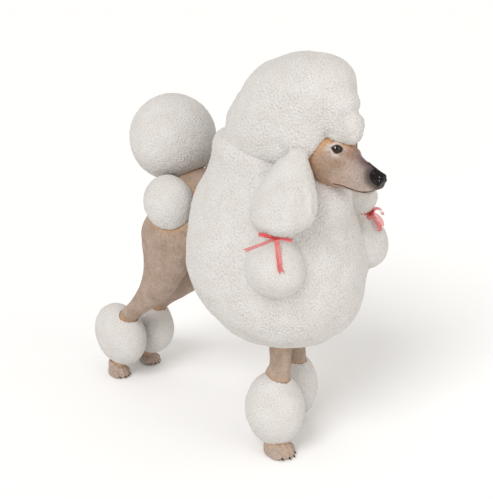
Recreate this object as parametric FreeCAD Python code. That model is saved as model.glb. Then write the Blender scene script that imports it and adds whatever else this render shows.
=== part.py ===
import FreeCAD, Part
import os
from math import cos, pi, radians, sin

# Standing poodle statue in the continental clip, made of bonded ceramic castings.
# Millimetres. +Z is up, the dog faces -Y and its right side is -X.
# The origin is the middle of the bounding box, on the surface that the soles stand on.

Vector = FreeCAD.Vector

OUT = "parts"
SIDES = (("right", -1), ("left", 1))
RING_POINTS = 12               # points that each elliptical section is drawn through

# Overall size
HEIGHT = 507.0                 # soles to the top of the topknot
HALF_LENGTH = 239.0            # origin to the tip of the nose, and to the back of the hind bracelets

# Castings are slip-cast shells
MANE_WALL = 6.5
TOPKNOT_WALL = 10.0
POMPON_WALL = 9.0
SOCKET_WALL = 7.0              # wall left round a blind socket that reaches into a cavity

# Mane: rows of y, z, half width, half depth, from the brisket to the neck
MANE = [
    (-98, 144, 6, 6),
    (-98, 146, 34, 34),
    (-97, 152, 56, 57),
    (-94, 166, 78, 80),
    (-89, 190, 96, 99),
    (-80, 228, 108, 114),
    (-76, 270, 106, 112),
    (-71, 315, 92, 102),
    (-76, 345, 76, 98),
    (-74, 366, 64, 86),
    (-64, 384, 58, 70),
    (-60, 397, 48, 58),
]
MANE_CAVITY_ROWS = slice(3, 9)

# Topknot: the same kind of rows, from the nape to the crown
TOPKNOT = [
    (-74, 373, 20, 22),
    (-76, 377, 42, 44),
    (-84, 392, 60, 68),
    (-94, 420, 66, 78),
    (-106, 450, 63, 74),
    (-118, 478, 55, 65),
    (-126, 496, 40, 48),
    (-128, 504, 24, 29),
    (-128, HEIGHT, 6, 7),
]
FORELOCK_CENTRE = (0, -179, 433)
FORELOCK_RADII = (25, 25, 23)
TOPKNOT_CAVITY_Z = (430, 494)  # above the skull, below the crown

# Head
SKULL_CENTRE = (0, -158, 392)
SKULL_RADII = (31, 42, 31)
NOSE_TIP_Y = -HALF_LENGTH
MUZZLE = [                     # rows of y, z, half width, half height
    (-160, 388, 30, 30),
    (-180, 385.5, 25, 28),
    (-196, 380, 18.5, 23.5),
    (-212, 375, 13.5, 18.5),
    (-226, 373, 10.5, 14.5),
    (-234, 375.5, 8.5, 11),
    (NOSE_TIP_Y, 379, 4.5, 5.5),
]
EYE_CENTRE = (12.5, -178.0, 406.5)
EYE_RADIUS = 9.5

# Ears: rows of x, y, z, half width, half depth, from the root to the tip
EAR = [
    (50, -150, 410, 8, 7),
    (54, -151, 398, 17, 15),
    (60, -152, 382, 24, 25),
    (66, -152, 364, 29, 35),
    (70, -149, 345, 32, 42),
    (73, -149, 330, 31, 39),
    (77, -147, 319, 21, 27),
    (78, -145, 310, 15, 19),
    (79, -145, 302, 20, 24),
    (81, -147, 290, 29, 32),
    (82, -148, 271, 33, 36),
    (82, -148, 254, 29, 32),
    (82, -148, 244, 19, 21),
    (82, -148, 240, 6, 7),
]
EAR_WAIST_ROW = 7
EAR_SET_BACK = {"right": 0.0, "left": 26.0}
EAR_SET_BACK_HEIGHT = 35.0     # height above the waist where an ear is fully set back
EAR_DROP = {"right": 0.0, "left": -12.0}

# Ribbons: narrow organza tied round each ear's waist
RIBBON_WIDTH = 6.0
BAND_STAND_OFF = 1.6           # band outside the waist
BAND_SIDES = 16
KNOT_SIZE = (7.0, 5.0, 7.0)
KNOT_SINK = 0.6                # share of the knot's depth that stands outside the waist
RIBBON_FACING = {"right": -135.0, "left": -70.0}   # direction that the knot faces, degrees from +X
LOOP_LENGTH = 18.0
LOOP_DEPTH = 6.0
LOOP_WALL = 1.2
LOOP_SIDES = 10
LOOP_TILT = 12.0               # degrees
TAIL_THICKNESS = 1.6
TAIL_LEANS = (6.0, 62.0)       # lean of the two tails away from straight down, degrees
TAIL_PROFILES = (              # outward and downward run of each tail over the lower lobe
    ((0, 0), (9, 8), (15, 18), (18, 34)),
    ((0, 0), (6, 8), (7, 18), (2, 36)),
)

# Hindquarters
RUMP_PARTS = [((0, 52, 283), (48, 58, 50)), ((0, 4, 270), (46, 66, 54))]
RUMP_TENON_RADIUS = 30.0
RUMP_TENON_Y = (12.0, 60.0)
RUMP_TENON_Z = 272.0
TAIL_TENON_RADIUS = 10.0
TAIL_TENON_LENGTH = 44.0
TAIL_TENON_START = (0, 62, 312)
TAIL_TENON_LEAN = 28.0         # degrees back from upright
POMPON_CENTRE = (0, 102, 367)
POMPON_RADIUS = 57.0
ROSETTE_CENTRE = (52, 58, 299)
ROSETTE_RADII = (28, 36, 36)

# Hind legs: rows of x, y, z, half width, half depth, from the hip to the pastern
HIND_LEG = [
    (36, 58, 302, 26, 38),
    (40, 66, 262, 26, 46),
    (40, 76, 220, 23, 41),
    (37, 90, 185, 19, 32),
    (34, 115, 150, 16, 26),
    (31, 150, 118, 13, 19),
    (28, 174, 96, 13, 16),
    (27, 187, 65, 12, 14),
    (28, 194, 32, 11, 12),
    (29, 196, 10, 9, 10),
]
HIND_BRACELET_CENTRE = (27, 192, 65)
HIND_BRACELET_RADII = (26.5, 47, 45)
HIND_PAW_CENTRE = (30, 198)

# Fore legs: the left one stands one short step behind the right one, with its paw drawn further back
# and a smaller bracelet
FORE_STEP = {"right": 0.0, "left": 34.0}
FORE_PAW_SET_BACK = {"right": 0.0, "left": 27.0}
FORE_LEG = [
    (34, -117, 172, 15, 17),
    (34, -117, 150, 14, 16),
    (34, -117, 126, 12, 14),
    (36, -116, 104, 13, 15),
    (38, -115, 60, 12, 14),
    (40, -117, 28, 11, 12),
    (41, -118, 10, 10, 11),
]
FORE_BRACELET_CENTRE = {"right": (38, -112, 60), "left": (37, -115, 54)}
FORE_BRACELET_RADII = {"right": (35, 39, 49), "left": (30, 32, 45)}
FORE_PAW_CENTRE = (42, -120)

# Paws: rows of y offset, z, half width, half depth; the sole is flat
PAW = [
    (-3, 0, 15, 18),
    (-3, 4, 17, 21),
    (-2, 10, 16, 20),
    (1, 18, 14, 17),
    (2, 27, 12, 14),
]
HIND_PAW_SCALE = 0.80
TOE_COUNT = 4
TOE_RADII = (5.2, 11.0, 8.0)
TOE_SPREAD = 26.0              # fan of the toes across the paw
TOE_REACH = 12.0               # toe centres ahead of the paw's middle
TOE_Z = 6.0


def scaled(centre, radii):
    """Matrix that scales the unit shape to the radii and moves it to the centre."""
    matrix = FreeCAD.Matrix()
    matrix.A11, matrix.A22, matrix.A33 = radii
    matrix.A14, matrix.A24, matrix.A34 = centre
    return matrix


def ellipsoid(centre, radii):
    return Part.makeSphere(1.0).transformGeometry(scaled(centre, radii))


def closed_curve(points):
    """Smooth closed curve through the points."""
    curve = Part.BSplineCurve()
    curve.interpolate(points, PeriodicFlag=True)
    return Part.Wire([curve.toShape()])


def ring(centre, half_x, half_y, half_z):
    """Ellipse about a centre; one of half_y and half_z is zero."""
    turns = [2 * pi * step / RING_POINTS for step in range(RING_POINTS)]
    return closed_curve([
        centre + Vector(half_x * cos(turn), half_y * sin(turn), half_z * sin(turn)) for turn in turns])


def level_section(x, y, z, half_x, half_y):
    """Horizontal ellipse."""
    return ring(Vector(x, y, z), half_x, half_y, 0)


def upright_section(y, z, half_x, half_z):
    """Ellipse across the dog, in a plane of constant y."""
    return ring(Vector(0, y, z), half_x, 0, half_z)


def body_through(rows):
    """Smooth solid through horizontal ellipses; rows are x, y, z, half width, half depth."""
    return Part.makeLoft([level_section(*row) for row in rows], True, False)


def midline(rows):
    return [(0, y, z, rx, ry) for y, z, rx, ry in rows]


def at_side(centre, side, step=0.0):
    return (side * centre[0], centre[1] + step, centre[2])


def largest(shape):
    """The main solid of a shape, without slivers that a cut leaves."""
    return max(shape.Solids, key=lambda solid: solid.Volume)


def cut(shape, *tools):
    for tool in tools:
        shape = shape.cut(tool)
    return largest(shape)


def fused(shapes):
    whole = shapes[0]
    for shape in shapes[1:]:
        whole = whole.fuse(shape)
    return largest(whole)


def mane_outer():
    return body_through(midline(MANE))


def inset(rows, wall):
    return [(y, z, rx - wall, ry - wall) for y, z, rx, ry in rows]


def mane_cavity(sockets):
    """Sealed hollow of the mane, with a wall kept round each blind socket."""
    return cut(body_through(midline(inset(MANE[MANE_CAVITY_ROWS], MANE_WALL))), *sockets)


def topknot_cavity():
    """Sealed hollow of the topknot."""
    bottom, top = TOPKNOT_CAVITY_Z
    slab = Part.makeBox(400, 400, top - bottom, Vector(-200, -300, bottom))
    return largest(body_through(midline(inset(TOPKNOT[1:-2], TOPKNOT_WALL))).common(slab))


def rump_tenon(extra=0.0):
    start, end = RUMP_TENON_Y
    base = Vector(0, start - extra, RUMP_TENON_Z)
    return Part.makeCylinder(RUMP_TENON_RADIUS + extra, end - start + extra, base, Vector(0, 1, 0))


def tail_tenon(extra=0.0):
    lean = radians(TAIL_TENON_LEAN)
    length = TAIL_TENON_LENGTH + extra
    return Part.makeCylinder(
        TAIL_TENON_RADIUS + extra, length, Vector(*TAIL_TENON_START), Vector(0, sin(lean), cos(lean)))


def fore_leg(name, side):
    """Leg that leans back below the middle of its bracelet, as far as the paw is set back."""
    rows = []
    for x, y, z, rx, ry in FORE_LEG:
        lean = max(0.0, 1 - z / FORE_BRACELET_CENTRE[name][2])
        rows.append((side * x, y + FORE_STEP[name] + lean * FORE_PAW_SET_BACK[name], z, rx, ry))
    return body_through(rows)


def fore_socket(side, step):
    """Wall kept inside the mane round the head of a fore leg."""
    x, y, z, rx, ry = FORE_LEG[0]
    height = 60.0
    base = Vector(side * x, y + step, z + SOCKET_WALL - height)
    return Part.makeCylinder(ry + SOCKET_WALL, height, base)


def rump():
    return fused([ellipsoid(centre, radii) for centre, radii in RUMP_PARTS])


def toes(centre, scale):
    """Four toes fanned across the front of a paw."""
    pieces = []
    for number in range(TOE_COUNT):
        place = number / (TOE_COUNT - 1) - 0.5
        outer = abs(place) > 0.3
        reach = TOE_REACH - (5.0 if outer else 0.0)
        toe_centre = (centre[0] + scale * TOE_SPREAD * place, centre[1] - scale * reach, scale * TOE_Z)
        pieces.append(ellipsoid(toe_centre, [scale * radius for radius in TOE_RADII]))
    return pieces


def paw(centre, scale):
    """Foot with four toes, cut flat at the sole."""
    rows = [(centre[0], centre[1] + scale * dy, scale * z, scale * rx, scale * ry) for dy, z, rx, ry in PAW]
    whole = fused([body_through(rows)] + toes(centre, scale))
    below = Part.makeBox(200, 200, 100, Vector(centre[0] - 100, centre[1] - 100, -100))
    return cut(whole, below)


def head_solid():
    muzzle = Part.makeLoft([upright_section(*row) for row in MUZZLE], True, False)
    return fused([ellipsoid(SKULL_CENTRE, SKULL_RADII), muzzle])


def topknot_outer():
    return fused([body_through(midline(TOPKNOT)), ellipsoid(FORELOCK_CENTRE, FORELOCK_RADII)])


def ear_rows(name, side):
    """One ear's rows: the set-back leans the part above the waist, the drop lowers the rest."""
    waist_z = EAR[EAR_WAIST_ROW][2]
    rows = []
    for x, y, z, rx, ry in EAR:
        lean = min(1.0, max(0.0, (z - waist_z) / EAR_SET_BACK_HEIGHT))
        drop = (1 - lean) * EAR_DROP[name]
        rows.append((side * x, y + lean * EAR_SET_BACK[name], z + drop, rx, ry))
    return rows


def waist(name, side):
    return ear_rows(name, side)[EAR_WAIST_ROW]


def faced(shape, knot, facing):
    """Turns a piece drawn with -Y outward so that it faces the knot's way, and moves it there."""
    shape.rotate(Vector(0, 0, 0), Vector(0, 0, 1), facing + 90)
    shape.translate(knot)
    return shape


def ribbon_tail(profile, lean, knot, facing):
    """Strip that runs down from the knot, over the lower lobe."""
    inner = [Vector(-RIBBON_WIDTH / 2, -out, -down) for out, down in profile]
    outer = [point - Vector(0, TAIL_THICKNESS, 0) for point in reversed(inner)]
    face = Part.Face(Part.makePolygon(inner + outer + inner[:1]))
    strip = face.extrude(Vector(RIBBON_WIDTH, 0, 0))
    strip.rotate(Vector(0, 0, 0), Vector(0, 1, 0), lean)
    return faced(strip, knot, facing)


def level_prism(x, y, z, rx, ry, sides, height):
    """Upright prism on a many-sided ellipse, centred on z."""
    turns = [2 * pi * (side + 0.5) / sides for side in range(sides)]
    corners = [Vector(x + rx * cos(turn), y + ry * sin(turn), z - height / 2) for turn in turns]
    return Part.Face(Part.makePolygon(corners + corners[:1])).extrude(Vector(0, 0, height))


def ribbon_loop(direction, knot, facing):
    """Flat open loop that stands out to one side of the knot."""
    half_length = LOOP_LENGTH / 2
    half_depth = LOOP_DEPTH / 2
    outer = level_prism(0, 0, 0, half_length, half_depth, LOOP_SIDES, RIBBON_WIDTH)
    inner_radii = (half_length - LOOP_WALL, half_depth - LOOP_WALL)
    loop = outer.cut(level_prism(0, 0, 0, *inner_radii, LOOP_SIDES, 2 * RIBBON_WIDTH))
    loop.translate(Vector(direction * half_length, -half_depth, 0))
    loop.rotate(Vector(0, 0, 0), Vector(0, 1, 0), LOOP_TILT)
    return faced(loop, knot, facing)


def ribbon_knot(knot, facing):
    width, depth, height = KNOT_SIZE
    corner = Vector(-width / 2, -KNOT_SINK * depth, -height / 2)
    return faced(Part.makeBox(width, depth, height, corner), knot, facing)


def ribbon(name, side, ear, obstacles):
    """Band, knot, two loops and two tails of one ear's ribbon, as one soft solid."""
    x, y, z, rx, ry = waist(name, side)
    facing = RIBBON_FACING[name]
    turn = radians(facing)
    reach = rx * ry / ((ry * cos(turn)) ** 2 + (rx * sin(turn)) ** 2) ** 0.5
    knot = Vector(x + reach * cos(turn), y + reach * sin(turn), z)
    band = level_prism(x, y, z, rx + BAND_STAND_OFF, ry + BAND_STAND_OFF, BAND_SIDES, RIBBON_WIDTH)
    pieces = [band, ribbon_knot(knot, facing)]
    pieces += [ribbon_loop(direction, knot, facing) for direction in (-1, 1)]
    for profile, lean in zip(TAIL_PROFILES, TAIL_LEANS):
        pieces.append(ribbon_tail(profile, side * lean, knot, facing))
    return cut(fused(pieces), ear, *obstacles)


def eyes_and_head():
    """The head with a seat for each glass eye; each ball's seam faces the inside of the skull."""
    eyes = {}
    for name, side in SIDES:
        eyes[name] = Part.makeSphere(EYE_RADIUS, Vector(*at_side(EYE_CENTRE, side)), Vector(0, 0, -side))
    return eyes, cut(head_solid(), *eyes.values())


def left_hind_pieces(body, mane, pompon):
    """Rosette, leg, bracelet and paw of the left hind quarter; the right one is their mirror image."""
    rosette = cut(ellipsoid(ROSETTE_CENTRE, ROSETTE_RADII), body, pompon)
    leg = cut(body_through(HIND_LEG), body, rosette, mane, pompon)
    foot = cut(paw(HIND_PAW_CENTRE, HIND_PAW_SCALE), leg)
    bracelet = cut(ellipsoid(HIND_BRACELET_CENTRE, HIND_BRACELET_RADII), leg, foot)
    return {"hip_rosette": rosette, "hind_leg": leg, "hind_paw": foot, "hind_bracelet": bracelet}


def fore_pieces(name, side, leg):
    """Leg, bracelet and paw of one fore leg."""
    step = FORE_STEP[name]
    paw_step = step + FORE_PAW_SET_BACK[name]
    foot = cut(paw((side * FORE_PAW_CENTRE[0], FORE_PAW_CENTRE[1] + paw_step), 1.0), leg)
    ball = ellipsoid(at_side(FORE_BRACELET_CENTRE[name], side, step), FORE_BRACELET_RADII[name])
    bracelet = cut(ball, leg, foot)
    return {"fore_leg": leg, "fore_paw": foot, "fore_bracelet": bracelet}


def build():
    """Every casting, cut back so that neighbours meet face to face."""
    parts = {}
    mane = mane_outer()
    eyes, head = eyes_and_head()
    skull_and_eyes = [head] + list(eyes.values())
    fore_legs = {name: fore_leg(name, side) for name, side in SIDES}
    sockets = [fore_socket(side, FORE_STEP[name]) for name, side in SIDES]
    cavity = mane_cavity(sockets + [rump_tenon(SOCKET_WALL)])

    parts["mane_shell"] = cut(mane, cavity, *skull_and_eyes, rump_tenon(), *fore_legs.values())
    parts["head"] = head
    for name, eye in eyes.items():
        parts[name + "_eye"] = eye

    topknot = topknot_outer()
    parts["topknot"] = cut(topknot, topknot_cavity(), mane, *skull_and_eyes)

    body = rump()
    pompon = Part.makeSphere(POMPON_RADIUS, Vector(*POMPON_CENTRE))
    hollow = Part.makeSphere(POMPON_RADIUS - POMPON_WALL, Vector(*POMPON_CENTRE))
    hollow = cut(hollow, body, tail_tenon(SOCKET_WALL))
    parts["hindquarters"] = fused([cut(body, mane), rump_tenon(), tail_tenon()])
    parts["tail_pompon"] = cut(pompon, hollow, body, tail_tenon())

    for node, shape in left_hind_pieces(body, mane, pompon).items():
        parts["left_" + node] = shape
        parts["right_" + node] = shape.mirror(Vector(0, 0, 0), Vector(1, 0, 0))

    for name, side in SIDES:
        ear = cut(body_through(ear_rows(name, side)), topknot, mane, *skull_and_eyes)
        parts[name + "_ear"] = ear
        parts[name + "_ear_ribbon"] = ribbon(name, side, ear, [mane, topknot])
        for node, shape in fore_pieces(name, side, fore_legs[name]).items():
            parts[name + "_" + node] = shape
    return parts


def report(parts):
    total = FreeCAD.BoundBox()
    for name, shape in parts.items():
        total.add(shape.BoundBox)
        box = shape.BoundBox
        print("%-22s solids %d valid %s %9.0f mm3  x %6.1f %6.1f  y %6.1f %6.1f  z %6.1f %6.1f" % (
            name, len(shape.Solids), shape.isValid(), shape.Volume,
            box.XMin, box.XMax, box.YMin, box.YMax, box.ZMin, box.ZMax))
    print("whole", total)


def main():
    os.makedirs(OUT, exist_ok=True)
    parts = build()
    for name, shape in parts.items():
        shape.exportStep(os.path.join(OUT, name + ".step"))
    report(parts)


main()
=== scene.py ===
import bpy
import bmesh
import math
import numpy as np
from mathutils import Matrix, Vector
from mathutils.bvhtree import BVHTree
from mathutils.kdtree import KDTree


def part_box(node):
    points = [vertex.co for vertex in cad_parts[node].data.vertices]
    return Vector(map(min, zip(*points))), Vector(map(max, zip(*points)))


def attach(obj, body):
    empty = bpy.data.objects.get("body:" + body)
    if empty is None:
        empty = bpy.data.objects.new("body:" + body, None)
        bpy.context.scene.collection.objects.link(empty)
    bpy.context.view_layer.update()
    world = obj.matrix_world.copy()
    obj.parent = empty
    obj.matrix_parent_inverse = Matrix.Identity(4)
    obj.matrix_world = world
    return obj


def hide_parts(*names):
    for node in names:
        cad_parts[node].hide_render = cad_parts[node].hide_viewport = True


# The poodle statue's looks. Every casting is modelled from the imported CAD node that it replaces: the node's
# surface is remeshed finely, smoothed where castings blend, sculpted and given its curled or shaved finish.
# Metres, in the row's frame: +Z up, the dog faces -Y, its right side is -X.

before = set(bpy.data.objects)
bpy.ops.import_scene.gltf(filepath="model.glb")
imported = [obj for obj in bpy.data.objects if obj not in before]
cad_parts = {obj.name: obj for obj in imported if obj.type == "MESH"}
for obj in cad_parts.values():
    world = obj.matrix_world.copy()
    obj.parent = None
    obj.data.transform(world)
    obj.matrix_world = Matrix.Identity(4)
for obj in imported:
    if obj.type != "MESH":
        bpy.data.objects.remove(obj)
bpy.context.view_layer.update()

MM = 0.001
SIDES = (("right", -1), ("left", 1))
EARS = ("right_ear", "left_ear")
COAT_SINGLES = ("mane_shell", "topknot", "tail_pompon")
COAT_PAIRS = ("ear", "hip_rosette", "hind_bracelet", "fore_bracelet")
COAT_NODES = list(COAT_SINGLES) + [f"{name}_{pair}" for name, _ in SIDES for pair in COAT_PAIRS]
VOXEL = {                  # how finely each kind of casting is remeshed, in millimetres
    "mane": 1.3,
    "topknot": 1.15,
    "pompon": 1.1,
    "ear": 1.0,
    "rosette": 1.0,
    "fore_bracelet": 1.05,
    "hind_bracelet": 1.05,
    "hindquarters": 1.1,
    "hind_leg": 1.0,
    "fore_leg": 0.9,
    "paw": 0.55,
    "head": 0.6,
    "eye": 0.45,
}


# ---- places from the frame

def low(node):
    return np.array(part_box(node)[0])


def high(node):
    return np.array(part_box(node)[1])


def middle(node):
    return (low(node) + high(node)) / 2


def size(node):
    return high(node) - low(node)


def node_points(node):
    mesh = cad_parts[node].data
    flat = np.empty(len(mesh.vertices) * 3)
    mesh.vertices.foreach_get("co", flat)
    return flat.reshape(-1, 3)


TREES = {}
TREE_STEP = 4          # the castings' own meshes are much finer than the distances asked for


def tree_of(node):
    """The points of a casting, to find how near another surface is."""
    if node not in TREES:
        points = node_points(node)[::TREE_STEP]
        tree = KDTree(len(points))
        for number, point in enumerate(points):
            tree.insert(point, number)
        tree.balance()
        TREES[node] = tree
    return TREES[node]


# ---- noise

NOISE_SEED = 7
NOISE_SIDE = 32        # cells before the noise repeats
NOISE_START = 100.0    # cells from the lattice's corner to the frame's origin
GRADIENTS = np.random.default_rng(NOISE_SEED).normal(size=(NOISE_SIDE, NOISE_SIDE, NOISE_SIDE, 3))


def noise(points, lump):
    """Smooth noise, about -1 to 1, whose lumps have that size in metres."""
    scaled = points / lump + NOISE_START
    cell = np.floor(scaled).astype(int)
    part = scaled - cell
    fade = part ** 3 * (part * (part * 6 - 15) + 10)
    total = np.zeros(len(points))
    for corner in range(8):
        offset = np.array([(corner >> axis) & 1 for axis in range(3)])
        place = (cell + offset) % NOISE_SIDE
        gradient = GRADIENTS[place[:, 0], place[:, 1], place[:, 2]]
        weight = np.prod(np.where(offset == 1, fade, 1 - fade), axis=1)
        total += weight * np.einsum("ij,ij->i", gradient, part - offset)
    return total


def step(edge0, edge1, value):
    """Smooth step from 0 at edge0 to 1 at edge1."""
    t = np.clip((value - edge0) / (edge1 - edge0), 0, 1)
    return t * t * (3 - 2 * t)


def fade(edge0, edge1, value):
    """The same with its edges in millimetres."""
    return step(edge0 * MM, edge1 * MM, value)


def bell(value, centre, width):
    """Bell curve, 1 at its centre."""
    return np.exp(-((value - centre) / width) ** 2)


# ---- clay: a fine mesh as arrays

QUAD = 4
BLOB_SUBDIVISIONS = 4
GROOVE_TAPER = 0.15        # share of a groove's length over which an end fades
GROOVE_ENDS = 0.25         # depth that is left at its ends
CURL_ROUNDS = 9            # rounds of blurring that the curls grow in
CURL_BAND = 4              # blurs from a curl to the furrow round it


def unit(vector):
    vector = np.asarray(vector, float)
    return vector / np.linalg.norm(vector)


class Clay:
    """A casting, finely remeshed, that can be smoothed, pushed, grooved and displaced."""

    def __init__(self, node, kind, blobs=()):
        self.co, self.faces = self.remeshed(self.joined(node, blobs), VOXEL[kind] * MM)
        self.keep_outer_shell()
        self.link()
        self.fields = {}

    @staticmethod
    def joined(node, blobs):
        """The node's mesh and some ellipsoids, as (centre, radii), in one mesh; the remesh merges them."""
        build = bmesh.new()
        build.from_mesh(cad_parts[node].data)
        bmesh.ops.remove_doubles(build, verts=build.verts, dist=1e-6)
        for centre, radii in blobs:
            matrix = Matrix.Translation(Vector(centre)) @ Matrix.Diagonal((*radii, 1.0))
            bmesh.ops.create_icosphere(build, subdivisions=BLOB_SUBDIVISIONS, radius=1.0, matrix=matrix)
        mesh = bpy.data.meshes.new("clay")
        build.to_mesh(mesh)
        build.free()
        return mesh

    @staticmethod
    def remeshed(mesh, voxel):
        """Vertices and quads of the mesh's voxel remesh."""
        holder = bpy.data.objects.new("clay", mesh)
        bpy.context.scene.collection.objects.link(holder)
        modifier = holder.modifiers.new("remesh", "REMESH")
        modifier.mode = "VOXEL"
        modifier.voxel_size = voxel
        graph = bpy.context.evaluated_depsgraph_get()
        result = bpy.data.meshes.new_from_object(holder.evaluated_get(graph))
        co = np.empty(len(result.vertices) * 3)
        result.vertices.foreach_get("co", co)
        loops = np.empty(len(result.loops), int)
        result.loops.foreach_get("vertex_index", loops)
        bpy.data.objects.remove(holder)
        bpy.data.meshes.remove(mesh)
        bpy.data.meshes.remove(result)
        return co.reshape(-1, 3), loops.reshape(-1, QUAD)

    def link(self):
        """Edges of the quads, and each vertex's number of neighbours."""
        pairs = np.concatenate([self.faces[:, [i, (i + 1) % QUAD]] for i in range(QUAD)])
        pairs = np.unique(np.sort(pairs, axis=1), axis=0)
        self.a, self.b = pairs[:, 0], pairs[:, 1]
        count = len(self.co)
        self.degree = np.bincount(self.a, minlength=count) + np.bincount(self.b, minlength=count)

    def keep_outer_shell(self):
        """Drops the shells of sealed hollows, which the remesh keeps inside."""
        self.link()
        label = np.arange(len(self.co))
        while True:
            lower = np.minimum(label[self.a], label[self.b])
            merged = label.copy()
            np.minimum.at(merged, self.a, lower)
            np.minimum.at(merged, self.b, lower)
            merged = merged[merged]
            if np.array_equal(merged, label):
                break
            label = merged
        outer = label == label[np.argmax(self.co[:, 2])]
        number = np.cumsum(outer) - 1
        self.faces = number[self.faces[outer[self.faces[:, 0]]]]
        self.co = self.co[outer]

    def spread(self, field):
        """Each vertex's mean over its neighbours."""
        if field.ndim == 1:
            return self.spread(field[:, None])[:, 0]
        total = np.empty_like(field, dtype=float)
        for axis in range(field.shape[1]):
            values = field[:, axis]
            total[:, axis] = np.bincount(self.a, values[self.b], len(self.co))
            total[:, axis] += np.bincount(self.b, values[self.a], len(self.co))
        return total / self.degree[:, None]

    def blurred(self, field, times):
        for _ in range(times):
            field = 0.5 * field + 0.5 * self.spread(field)
        return field

    def relax(self, times, where=None):
        """Plain smoothing, which also softens the form; where limits it to a mask."""
        weight = 1.0 if where is None else where[:, None]
        for _ in range(times):
            self.co += 0.5 * weight * (self.spread(self.co) - self.co)

    def normals(self):
        p = self.co[self.faces]
        face = np.cross(p[:, 2] - p[:, 0], p[:, 3] - p[:, 1])
        total = np.zeros_like(self.co)
        for corner in range(QUAD):
            for axis in range(3):
                total[:, axis] += np.bincount(self.faces[:, corner], face[:, axis], len(self.co))
        return total / np.maximum(np.linalg.norm(total, axis=1, keepdims=True), 1e-12)

    def falloff(self, centre, radii):
        """1 at the centre, 0 on the ellipsoid with those radii."""
        offset = self.co - np.asarray(centre)
        reach = np.sum((offset / np.asarray(radii)) ** 2, axis=1)
        return np.clip(1 - reach, 0, 1) ** 2

    def push(self, centre, radii, amount, direction=None):
        """Raises the surface round a centre, or sinks it where amount is negative."""
        weight = self.falloff(centre, np.broadcast_to(radii, 3))[:, None]
        way = self.normals() if direction is None else unit(direction)
        self.co += weight * amount * way

    def along(self, line, measure=(1, 1, 1)):
        """Distance of every vertex to a polyline, and how far along the line it is, 0 to 1.

        The measure stretches or shrinks each axis before the distance is taken.
        """
        line = np.asarray(line, float) * measure
        co = self.co * measure
        best = np.full(len(co), 1e9)
        where = np.zeros(len(self.co))
        lengths = np.linalg.norm(np.diff(line, axis=0), axis=1)
        travelled = 0.0
        for start, end, length in zip(line, line[1:], lengths):
            t = np.clip((co - start) @ (end - start) / length ** 2, 0, 1)
            distance = np.linalg.norm(co - (start + t[:, None] * (end - start)), axis=1)
            nearer = distance < best
            best = np.where(nearer, distance, best)
            where = np.where(nearer, (travelled + t * length) / lengths.sum(), where)
            travelled += length
        return best, where

    def groove(self, line, width, depth):
        """Cuts a soft groove along a line."""
        distance, where = self.along(line)
        inner = step(0, GROOVE_TAPER, where) * step(0, GROOVE_TAPER, 1 - where)
        weight = bell(distance, 0, width) * (GROOVE_ENDS + (1 - GROOVE_ENDS) * inner)
        self.co -= self.normals() * (weight * depth)[:, None]

    def near(self, nodes, reach):
        """Distance of every vertex to other castings, looked for only within reach."""
        away = np.full(len(self.co), 2 * reach)
        for node in nodes:
            inside = np.all((self.co > low(node) - reach) & (self.co < high(node) + reach), axis=1)
            tree = tree_of(node)
            found = [tree.find(point)[2] for point in self.co[inside]]
            away[inside] = np.minimum(away[inside], found)
        return away

    def weld(self, nodes, reach, rise):
        """Swells the surface where it meets other castings, so that the joint is a soft valley."""
        self.displace(rise * bell(self.near(nodes, 3 * reach), 0, reach))

    def displace(self, field):
        self.co += self.normals() * field[:, None]

    def curls(self, seed):
        """Small irregular curls all over the surface, -1 in the furrows to 1 on the curls."""
        grain = np.random.default_rng(seed).normal(size=len(self.co))
        pattern = grain
        for _ in range(CURL_ROUNDS):
            close = self.blurred(pattern, 1)
            pattern = close - self.blurred(close, CURL_BAND)
            pattern = np.tanh(1.2 * pattern / pattern.std()) + 0.25 * grain
        pattern = self.blurred(pattern, 1)
        return np.clip(pattern / (2.2 * pattern.std()), -1, 1)

    def piece(self, name, node, material, slot):
        """The finished piece, which stands for its node."""
        mesh = bpy.data.meshes.new(name)
        mesh.from_pydata(self.co.tolist(), [], self.faces.tolist())
        for field, values in self.fields.items():
            layer = mesh.attributes.new(field, "FLOAT", "POINT")
            layer.data.foreach_set("value", np.ascontiguousarray(values, np.float32))
        add_piece(name, mesh, node, material)


def add_piece(name, mesh, node, material):
    mesh.shade_smooth()
    mesh.materials.append(material)
    thing = bpy.data.objects.new(name, mesh)
    bpy.context.scene.collection.objects.link(thing)
    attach(thing, "root")
    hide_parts(node)


# ---- materials

def new_material(name, roughness, specular):
    material = bpy.data.materials.new(name)
    material.use_nodes = True
    shader = material.node_tree.nodes["Principled BSDF"]
    shader.inputs["Roughness"].default_value = roughness
    shader.inputs["Specular IOR Level"].default_value = specular
    return material, material.node_tree, shader


def node_of(tree, kind, **settings):
    node = tree.nodes.new(kind)
    for key, value in settings.items():
        setattr(node, key, value)
    return node


def noise_node(tree, scale, detail=3.0):
    """Noise in the object's own space; scale is lumps per metre."""
    space = node_of(tree, "ShaderNodeTexCoord")
    texture = node_of(tree, "ShaderNodeTexNoise")
    texture.inputs["Scale"].default_value = scale
    texture.inputs["Detail"].default_value = detail
    texture.inputs["Roughness"].default_value = 0.6
    tree.links.new(space.outputs["Object"], texture.inputs["Vector"])
    return texture.outputs["Fac"]


def field_node(tree, name):
    return node_of(tree, "ShaderNodeAttribute", attribute_name=name).outputs["Fac"]


def ramp(tree, value, *stops):
    """Colour ramp; stops are (position, colour)."""
    node = node_of(tree, "ShaderNodeValToRGB")
    elements = node.color_ramp.elements
    elements[0].position, elements[0].color = stops[0][0], (*stops[0][1], 1)
    elements[1].position, elements[1].color = stops[-1][0], (*stops[-1][1], 1)
    for position, colour in stops[1:-1]:
        elements.new(position).color = (*colour, 1)
    tree.links.new(value, node.inputs["Fac"])
    return node.outputs["Color"]


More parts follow.
